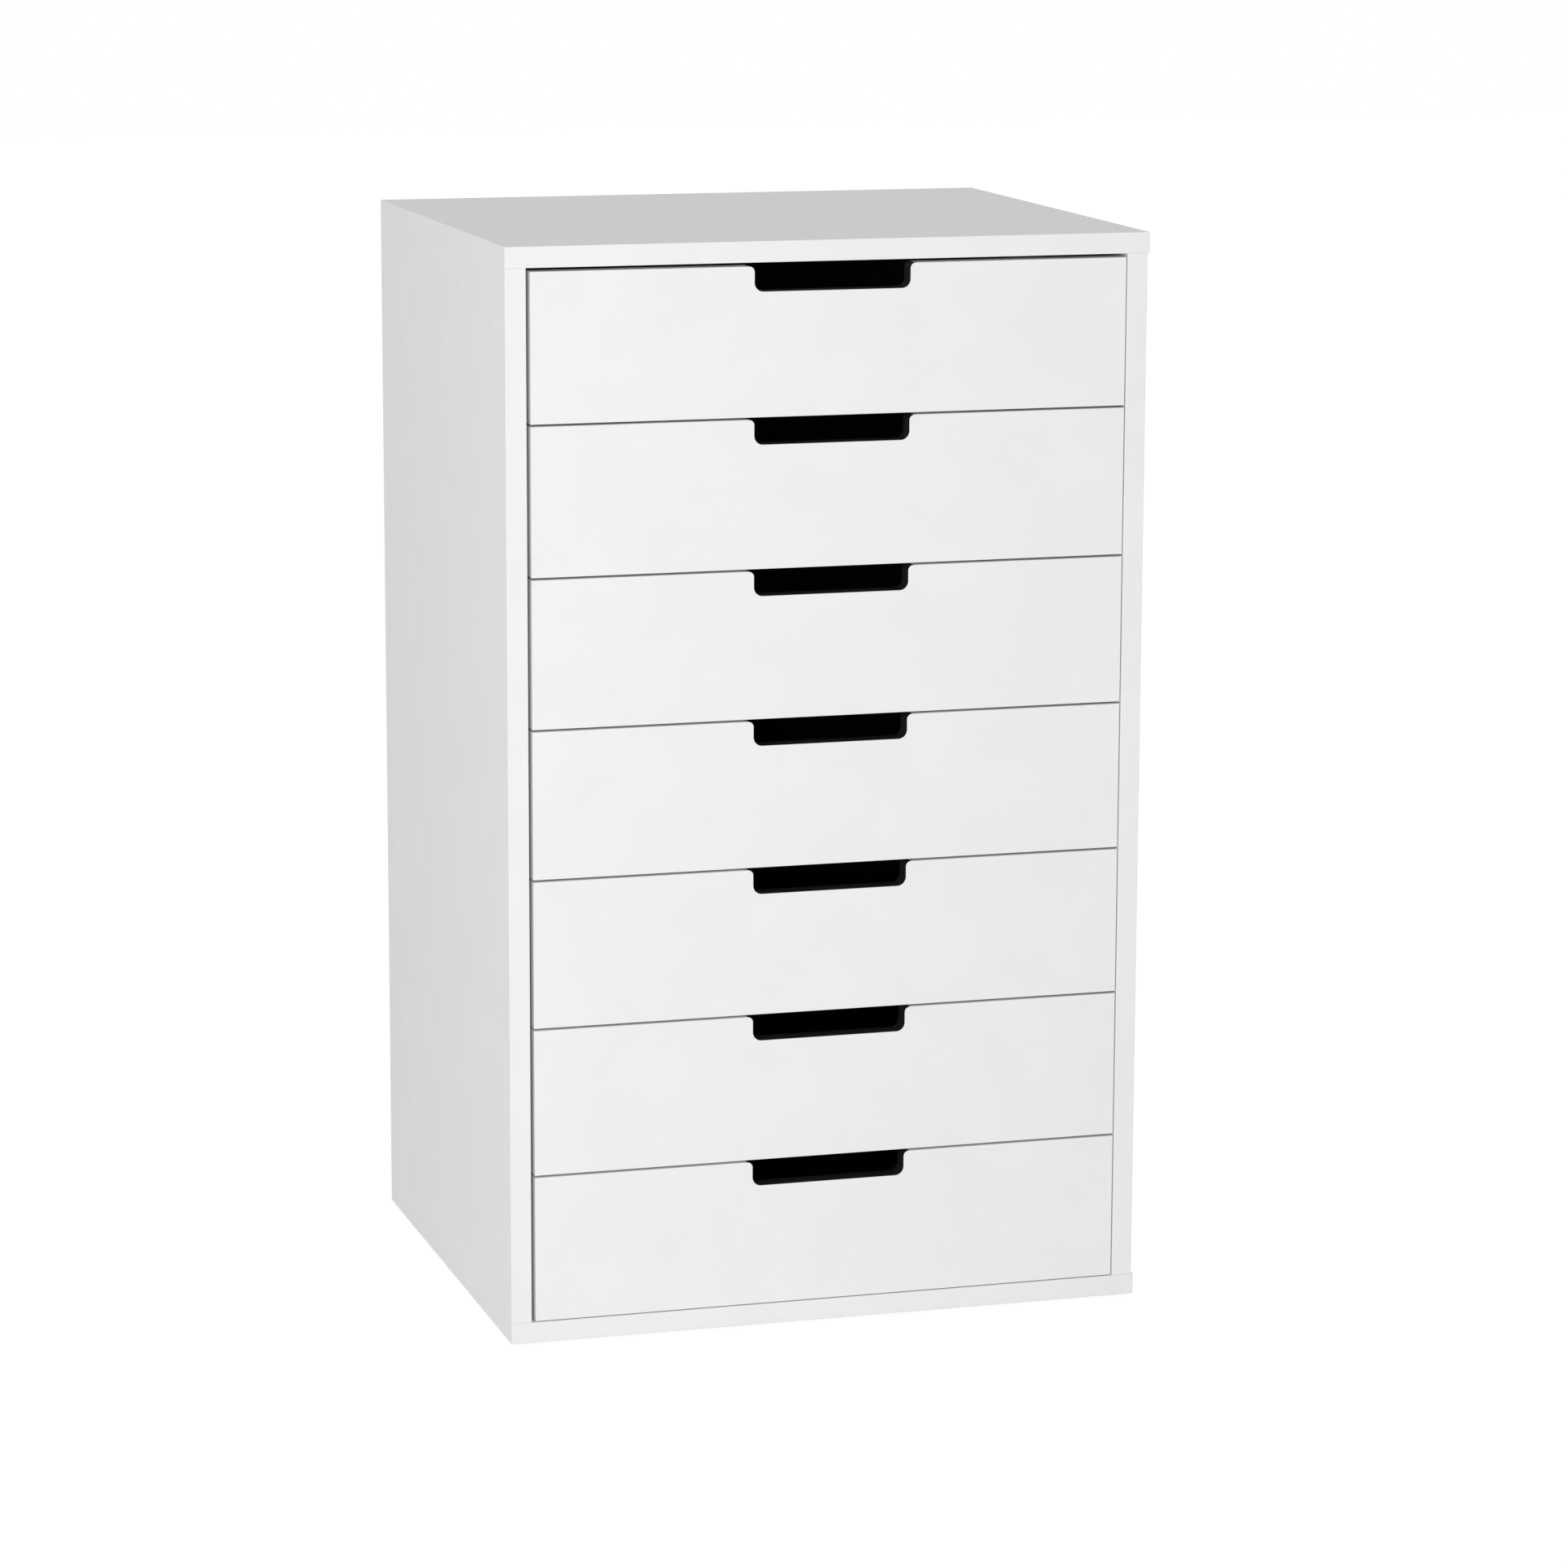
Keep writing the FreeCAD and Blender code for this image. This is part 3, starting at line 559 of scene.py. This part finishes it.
def pan_head_screw():
    screw = add_rod("pan_head_screw", (0, 0, 0), HEAD, HEAD_HEIGHT)
    bpy.ops.object.mode_set(mode="EDIT")
    choose("EDGE", lambda edge: middle_of(edge).z > HEAD_HEIGHT * 0.9)
    bpy.ops.mesh.bevel(offset=HEAD_HEIGHT * DOME_SHARE, segments=4, affect="EDGES")
    choose("FACE", lambda face: face.normal.z < -0.9)
    bpy.ops.mesh.inset(thickness=(HEAD - SHANK) / 2)
    straight = SCREW_LENGTH - POINT
    bpy.ops.mesh.extrude_region_move(TRANSFORM_OT_translate={"value": (0, 0, -straight)})
    bpy.ops.mesh.extrude_region_move(TRANSFORM_OT_translate={"value": (0, 0, -POINT)})
    bpy.ops.transform.resize(value=(TIP_SHARE, TIP_SHARE, 1))
    bpy.ops.object.mode_set(mode="OBJECT")
    for long, wide in ((CROSS_LONG, CROSS_WIDE), (CROSS_WIDE, CROSS_LONG)):
        corner = Vector((long / 2, wide / 2, 0))
        floor = Vector((0, 0, HEAD_HEIGHT - CROSS_DEEP))
        roof = Vector((0, 0, HEAD_HEIGHT * 2))
        carve(screw, add_block("cross_cutter", floor - corner, roof + corner))
    bpy.ops.object.shade_smooth_by_angle(angle=SMOOTH_BELOW)
    return screw


screw = pan_head_screw()
RAIL_GAUGE = 1.2 * MM
facing_right = Matrix.Rotation(QUARTER, 4, "Y")
facing_left = Matrix.Rotation(-QUARTER, 4, "Y")
facing_down = Matrix.Rotation(2 * QUARTER, 4, "X")

rail_moves = []
for low, high in solids_in("runner_screws"):
    heart = (low + high) / 2
    on_left = heart.x < 0
    under_head = high.x - HEAD_HEIGHT if on_left else low.x + HEAD_HEIGHT
    turned = facing_right if on_left else facing_left
    rail_moves.append(("cabinet", Matrix.Translation((under_head, heart.y, heart.z)) @ turned))
place_copies(screw, "runner_screws", zinc_plate, rail_moves)

bracket_moves = []
for low, high in solids_in("bracket_screws"):
    heart = (low + high) / 2
    under_head = Matrix.Translation((heart.x, heart.y, low.z + HEAD_HEIGHT))
    bracket_moves.append(("cabinet", under_head @ facing_down))
place_copies(screw, "bracket_screws", zinc_plate, bracket_moves)
bpy.data.objects.remove(screw)

# %% [markdown]
# A cam lock is a cast drum, flush with the board, with a raised rim round a shallow dish
# and a deep cross for the driver. The rim and dish are an inset and a push inwards, and a
# bore in its side takes the bolt.

# %% A cam lock
CAM, CAM_RIM, CAM_DISH = 15 * MM, 0.9 * MM, 0.35 * MM
CAM_CROSS_LONG, CAM_CROSS_WIDE, CAM_CROSS_DEEP = 7 * MM, 1.5 * MM, 2.5 * MM
BOLT_BORE = 6.2 * MM
BOARD = cad_high[2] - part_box("left_side_panel")[1].z


def cam_lock(depth):
    lock = add_rod("cam_lock", (0, 0, -depth), CAM, depth, corners=48)
    bpy.ops.object.mode_set(mode="EDIT")
    choose("FACE", lambda face: face.normal.z > 0.9)
    bpy.ops.mesh.inset(thickness=CAM_RIM)
    bpy.ops.mesh.extrude_region_move(TRANSFORM_OT_translate={"value": (0, 0, -CAM_DISH)})
    bpy.ops.object.mode_set(mode="OBJECT")
    for long, wide in ((CAM_CROSS_LONG, CAM_CROSS_WIDE), (CAM_CROSS_WIDE, CAM_CROSS_LONG)):
        corner = Vector((long / 2, wide / 2, 0))
        floor = Vector((0, 0, -CAM_CROSS_DEEP))
        carve(lock, add_block("cam_cutter", floor - corner, corner + Vector((0, 0, CAM_DISH))))
    carve(lock, add_rod("bore_cutter", (0, 0, -BOARD / 2), BOLT_BORE, CAM, turn=SIDEWAYS))
    bpy.ops.object.shade_smooth_by_angle(angle=SMOOTH_BELOW)
    return lock


cam_boxes = solids_in("cam_locks")
cam_depth = cam_boxes[0][1].x - cam_boxes[0][0].x
lock = cam_lock(cam_depth)
cam_moves = []
for low, high in cam_boxes:
    heart = (low + high) / 2
    on_left, is_low = heart.x < 0, heart.z < (cad_low[2] + cad_high[2]) / 2
    face = high.x if on_left else low.x
    spin = Matrix.Rotation(0 if on_left == is_low else math.pi, 4, "Z")
    turned = facing_right if on_left else facing_left
    cam_moves.append(("cabinet", Matrix.Translation((face, heart.y, heart.z)) @ turned @ spin))
place_copies(lock, "cam_locks", zinc_casting, cam_moves)
bpy.data.objects.remove(lock)

# %% [markdown]
# A floor glide is a plastic disc with a rounded rim, nailed up into the bottom panel. The
# nail's head sits in a hollow, so that it never scratches the floor.

# %% A floor glide
GLIDE, GLIDE_HEIGHT, GLIDE_HOLLOW, HOLLOW_DEEP = 22 * MM, 3 * MM, 8 * MM, 1.2 * MM
GLIDE_RIM = 1.2 * MM
NAIL, NAIL_LENGTH = 3 * MM, 12 * MM


def floor_glide():
    glide = add_rod("floor_glide", (0, 0, 0), GLIDE, GLIDE_HEIGHT, corners=48)
    bpy.ops.object.mode_set(mode="EDIT")
    choose("EDGE", lambda edge: middle_of(edge).z < NEAR)
    bpy.ops.mesh.bevel(offset=GLIDE_RIM, segments=4, affect="EDGES")
    choose("FACE", lambda face: face.normal.z < -0.99)
    bpy.ops.mesh.inset(thickness=GLIDE / 2 - GLIDE_RIM - GLIDE_HOLLOW / 2)
    bpy.ops.mesh.extrude_region_move(TRANSFORM_OT_translate={"value": (0, 0, HOLLOW_DEEP)})
    choose("FACE", lambda face: face.normal.z > 0.9 and middle_of(face).z > GLIDE_HEIGHT * 0.9)
    bpy.ops.mesh.inset(thickness=(GLIDE - NAIL) / 2)
    bpy.ops.mesh.extrude_region_move(TRANSFORM_OT_translate={"value": (0, 0, NAIL_LENGTH)})
    bpy.ops.object.mode_set(mode="OBJECT")
    bpy.ops.object.shade_smooth_by_angle(angle=SMOOTH_BELOW)
    return glide


glide = floor_glide()
glide_moves = []
for low, high in solids_in("floor_glides"):
    foot = ((low.x + high.x) / 2, (low.y + high.y) / 2, low.z)
    glide_moves.append(("cabinet", Matrix.Translation(foot)))
place_copies(glide, "floor_glides", nylon, glide_moves)
bpy.data.objects.remove(glide)

# %% [markdown]
# A runner rail is one strip of sheet steel, folded twice to a channel, so its corners are
# round and its gauge is the same all along. That is how it is made here too: a flat web,
# its two long edges drawn out to flanges, the folds bevelled, and then the sheet is given
# its gauge. The press also punches round holes in the web.

# %% A folded rail
FOLD = 1.5 * MM
PUNCHED, PUNCH_ROOM = 6 * MM, 30 * MM
PRESSED_EDGE = 0.2 * MM


def folded_rail(flange, length, height):
    """In its own frame: x from the side panel to the middle, y to the back, z up."""
    half = RAIL_GAUGE / 2
    web_height = height - RAIL_GAUGE
    rail = add_sheet("folded_rail", web_height, length, (half, length / 2, height / 2),
                     turn=SIDEWAYS)
    bpy.ops.object.mode_set(mode="EDIT")
    drawn_out = {"value": (flange - half, 0, 0)}
    for edge_z in (half, height - half):
        choose("EDGE", lambda edge: abs(middle_of(edge).z - edge_z) < half)
        bpy.ops.mesh.extrude_region_move(TRANSFORM_OT_translate=drawn_out)
    choose("EDGE", lambda edge: all(corner.co.x < half + FOLD / 2 for corner in edge.verts)
           and abs(middle_of(edge).z - height / 2) > web_height / 2 - half)
    bpy.ops.mesh.bevel(offset=FOLD, segments=4, affect="EDGES")
    bpy.ops.mesh.select_all(action="SELECT")
    bpy.ops.mesh.normals_make_consistent(inside=False)
    bpy.ops.object.mode_set(mode="OBJECT")
    apply_modifier(rail, "SOLIDIFY", thickness=RAIL_GAUGE, offset=0, use_even_offset=True)
    for place in (PUNCH_ROOM, length / 2 - PUNCH_ROOM,
                  length / 2 + PUNCH_ROOM, length - PUNCH_ROOM):
        carve(rail, add_rod("punch", (-half, place, height / 2), PUNCHED, 2 * RAIL_GAUGE,
                            turn=SIDEWAYS))
    tab = add_block("rear_tab", (0, length, 0), (flange, length + RAIL_GAUGE, height))
    return join_all("folded_rail", [rail, tab])


for side in ("left", "right"):
    node = f"{side}_runner_rails"
    boxes = solids_in(node)
    size = boxes[0][1] - boxes[0][0]
    rail = folded_rail(size.x, size.y - RAIL_GAUGE, size.z)
    soften(rail, PRESSED_EDGE)
    place_copies(rail, node, powder_coat,
                 [("cabinet", onto(low, high)) for low, high in boxes])
    bpy.data.objects.remove(rail)

# %% [markdown]
# The shoe at the front of a rail is a moulded pad that carries the drawer's strip. Its
# ends slope, so that the strip rides up on it without a knock, and a pin through the rail
# holds it.

# %% A moulded shoe
SHOE_SLOPE, SHOE_PIN, SHOE_EDGE = 2.5 * MM, 4 * MM, 0.3 * MM


def moulded_shoe(size):
    """Its own frame: the pin's foot at z = 0, the pad above it."""
    pad = add_block("moulded_shoe", (0, 0, RAIL_GAUGE), size)
    bpy.ops.object.mode_set(mode="EDIT")
    choose("EDGE", lambda edge: middle_of(edge).z > size.z - NEAR
           and abs(middle_of(edge).y - size.y / 2) > size.y / 2 - NEAR)
    bpy.ops.mesh.bevel(offset=SHOE_SLOPE, segments=3, affect="EDGES")
    bpy.ops.object.mode_set(mode="OBJECT")
    pin = add_rod("shoe_pin", (size.x / 2, size.y / 2, 0), SHOE_PIN, RAIL_GAUGE, corners=24)
    return join_all("moulded_shoe", [pad, pin])


shoe_boxes = solids_in("runner_shoes")
shoe = moulded_shoe(shoe_boxes[0][1] - shoe_boxes[0][0])
soften(shoe, SHOE_EDGE)
place_copies(shoe, "runner_shoes", nylon,
             [("cabinet", onto(low, high)) for low, high in shoe_boxes])
bpy.data.objects.remove(shoe)

# %% [markdown]
# The strip on a drawer's side is moulded with a long hollow down its outer face, which
# saves plastic and keeps the walls even. Its rear end is a taller block. The block is the
# strip's own end drawn up and down, and two pegs press into the drawer's side.

# %% A moulded runner strip
BLOCK, STRIP_LOW, STRIP_HIGH = 70 * MM, 4 * MM, 15 * MM
PEG, PEG_LENGTH, PEG_END = 5 * MM, 8 * MM, 40 * MM
HOLLOW_WALL, HOLLOW_DEPTH, STRIP_EDGE = 2.5 * MM, 1.5 * MM, 0.5 * MM


def moulded_strip(size):
    """Its own frame: x from the outer face to the drawer's side, z from the block's foot."""
    width = size.x - PEG_LENGTH
    strip = add_block("moulded_strip", (0, 0, STRIP_LOW), (width, size.y, STRIP_HIGH))
    bpy.ops.object.mode_set(mode="EDIT")
    bpy.ops.mesh.select_all(action="SELECT")
    shoulder = size.y - BLOCK
    bpy.ops.mesh.bisect(plane_co=(0, shoulder, 0), plane_no=(0, 1, 0))
    for up, reach in ((1, size.z - STRIP_HIGH), (-1, STRIP_LOW)):
        choose("FACE", lambda face: face.normal.z * up > 0.9 and middle_of(face).y > shoulder)
        bpy.ops.mesh.extrude_region_move(TRANSFORM_OT_translate={"value": (0, 0, up * reach)})
    choose("FACE", lambda face: face.normal.x < -0.9 and middle_of(face).y < shoulder)
    bpy.ops.mesh.inset(thickness=HOLLOW_WALL)
    bpy.ops.mesh.extrude_region_move(TRANSFORM_OT_translate={"value": (HOLLOW_DEPTH, 0, 0)})
    bpy.ops.object.mode_set(mode="OBJECT")
    soften(strip, STRIP_EDGE)
    height = (STRIP_LOW + STRIP_HIGH) / 2
    pegs = [add_rod("peg", (width, place, height), PEG, PEG_LENGTH, corners=24,
                    turn=SIDEWAYS) for place in (PEG_END, size.y - PEG_END)]
    return join_all("moulded_strip", [strip] + pegs)


for name in sorted(node for node in nodes if node.endswith("_runner_strips")):
    strip_boxes = solids_in(name)
    strip = moulded_strip(strip_boxes[0][1] - strip_boxes[0][0])
    body = name.replace("_runner_strips", "")
    place_copies(strip, name, nylon,
                 [(body, onto(low, high)) for low, high in strip_boxes])
    bpy.data.objects.remove(strip)

# %% [markdown]
# The wall bracket is a short strip of steel folded once, with rounded corners and two
# holes. It is folded here as the rail was: a flat leg, the other leg drawn down from its
# rear edge, the fold and the free corners rounded, then the gauge, then the holes.

# %% A wall bracket
BRACKET_GAUGE, BRACKET_FOLD, BRACKET_CORNER = 2 * MM, 3 * MM, 4 * MM
WALL_HOLE, WALL_HOLE_DROP, SCREW_HOLE = 5 * MM, 20 * MM, 3.7 * MM


def wall_bracket(low, high):
    half = BRACKET_GAUGE / 2
    width, centre = high.x - low.x, (low.x + high.x) / 2
    leg = high.y - half - low.y
    bracket = add_sheet("wall_bracket", width, leg, (centre, low.y + leg / 2, high.z - half))
    bpy.ops.object.mode_set(mode="EDIT")
    choose("EDGE", lambda edge: middle_of(edge).y > high.y - BRACKET_GAUGE)
    drop = high.z - half - low.z
    bpy.ops.mesh.extrude_region_move(TRANSFORM_OT_translate={"value": (0, 0, -drop)})
    choose("VERT", lambda corner: corner.co.y < low.y + half or corner.co.z < low.z + half)
    bpy.ops.mesh.bevel(offset=BRACKET_CORNER, segments=5, affect="VERTICES")
    choose("EDGE", lambda edge: all(corner.co.y > high.y - BRACKET_GAUGE
                                    and corner.co.z > high.z - BRACKET_GAUGE
                                    for corner in edge.verts))
    bpy.ops.mesh.bevel(offset=BRACKET_FOLD, segments=5, affect="EDGES")
    bpy.ops.mesh.select_all(action="SELECT")
    bpy.ops.mesh.normals_make_consistent(inside=False)
    bpy.ops.object.mode_set(mode="OBJECT")
    apply_modifier(bracket, "SOLIDIFY", thickness=BRACKET_GAUGE, offset=0, use_even_offset=True)
    through = 4 * BRACKET_GAUGE
    in_wall_leg = (centre, high.y - through / 2, high.z - WALL_HOLE_DROP)
    in_board_leg = (centre, (low.y + high.y) / 2, high.z - through / 2)
    carve(bracket, add_rod("wall_hole", in_wall_leg, WALL_HOLE, through, turn=(-QUARTER, 0, 0)))
    carve(bracket, add_rod("screw_hole", in_board_leg, SCREW_HOLE, through))
    return bracket


bracket_boxes = solids_in("wall_brackets")
bracket = wall_bracket(*bracket_boxes[0])
soften(bracket, PRESSED_EDGE)
place_copies(bracket, "wall_brackets", powder_coat,
             [("cabinet", Matrix.Translation(low - bracket_boxes[0][0]))
              for low, high in bracket_boxes])
bpy.data.objects.remove(bracket)

# %% [markdown]
# The studio is plain: a pale floor and an even white sky. The sky shows pure white to the
# camera, to mirrors and to glass, and lights the chest at a lower level. The floor does
# the same with a share of its surface, and the rest of it takes light and shadow. In the
# open the two add up to white. In the deepest shadow they fall a little short of it.


# %% Floor and sky
SKY_LEVEL = 0.58
FLOOR_WHITE = "#eeeeee"
FLOOR_HALF = 15.0
FLOOR_SHOWN = 1.15
FLOOR_SHARE = 0.8


def seen_directly(tree):
    """1 for camera, mirror and glass rays, 0 for the light that falls on things."""
    path = add_node(tree, "ShaderNodeLightPath")
    bright = add_node(tree, "ShaderNodeMath",
                      {0: path.outputs["Is Camera Ray"], 1: path.outputs["Is Glossy Ray"]},
                      operation="MAXIMUM")
    return add_node(tree, "ShaderNodeMath",
                    {0: bright.outputs[0], 1: path.outputs["Is Transmission Ray"]},
                    operation="MAXIMUM").outputs[0]


def white_floor():
    bpy.ops.mesh.primitive_plane_add(size=2 * FLOOR_HALF, location=(0, 0, 0))
    floor = bpy.context.object
    floor.name = "studio_floor"
    material = bpy.data.materials.new("pale_studio_floor")
    material.use_nodes = True
    tree = material.node_tree
    tree.nodes.clear()
    lit = add_node(tree, "ShaderNodeBsdfDiffuse", {"Color": linear(FLOOR_WHITE)})
    shown = add_node(tree, "ShaderNodeEmission",
                     {"Color": linear("#ffffff"), "Strength": FLOOR_SHOWN})
    share = add_node(tree, "ShaderNodeMath", {0: seen_directly(tree), 1: FLOOR_SHARE},
                     operation="MULTIPLY")
    mixed = add_node(tree, "ShaderNodeMixShader",
                     {0: share.outputs[0], 1: lit.outputs[0], 2: shown.outputs[0]})
    add_node(tree, "ShaderNodeOutputMaterial", {"Surface": mixed.outputs[0]})
    floor.data.materials.append(material)
    floor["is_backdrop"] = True


def white_sky():
    world = bpy.data.worlds.new("even_studio_sky")
    bpy.context.scene.world = world
    world.use_nodes = True
    tree = world.node_tree
    tree.nodes.clear()
    lighting = add_node(tree, "ShaderNodeBackground",
                        {"Color": linear("#ffffff"), "Strength": SKY_LEVEL})
    shown = add_node(tree, "ShaderNodeBackground", {"Color": linear("#ffffff"), "Strength": 1.0})
    mixed = add_node(tree, "ShaderNodeMixShader",
                     {0: seen_directly(tree), 1: lighting.outputs[0], 2: shown.outputs[0]})
    add_node(tree, "ShaderNodeOutputWorld", {"Surface": mixed.outputs[0]})


white_floor()
white_sky()
print("sky level", SKY_LEVEL, "floor shows at least", round(FLOOR_SHOWN * FLOOR_SHARE, 2))

# %% [markdown]
# One large soft lamp stands in front, well to the left and below the top's height. It
# makes the fronts a little brighter than the left side, and leaves no hard shadow.


# %% The soft lamp
LAMP_PLACE = Vector((-2.0, -3.6, 0.85))
LAMP_SIZE = 2.0
LAMP_WATTS = 76.0


def soft_lamp(name, place, target, size, watts):
    light = bpy.data.lights.new(name, "AREA")
    light.shape = "SQUARE"
    light.size = size
    light.energy = watts
    lamp = bpy.data.objects.new(name, light)
    lamp.location = place
    lamp.rotation_euler = (target - place).to_track_quat("-Z", "Y").to_euler()
    bpy.context.scene.collection.objects.link(lamp)
    return lamp


middle = (Vector(cad_low) + Vector(cad_high)) / 2
soft_lamp("front_softbox", LAMP_PLACE, middle, LAMP_SIZE, LAMP_WATTS)
print("lamp is", round((LAMP_PLACE - middle).length, 2), "m away")

# %% [markdown]
# The camera stands well back with a long lens, a little above the chest and to its left,
# and looks slightly down, so the left side and the top are both in view.

# %% The camera
EYE = Vector((-1.3794, -4.7601, 1.4265))
TURN_RIGHT = 16.514
LOOK_DOWN = 11.049
LEAN = 0.201
LENS = 121.54


def add_camera():
    data = bpy.data.cameras.new("camera")
    data.sensor_width = 36.0
    data.lens = LENS
    camera = bpy.data.objects.new("camera", data)
    turn = Matrix.Rotation(math.radians(-TURN_RIGHT), 4, "Z")
    tilt = Matrix.Rotation(math.radians(90 - LOOK_DOWN), 4, "X")
    lean = Matrix.Rotation(math.radians(LEAN), 4, "Z")
    camera.matrix_world = Matrix.Translation(EYE) @ turn @ tilt @ lean
    bpy.context.scene.collection.objects.link(camera)
    bpy.context.scene.camera = camera


add_camera()
bpy.context.scene.view_settings.view_transform = "Standard"
print("camera", LENS, "mm lens")
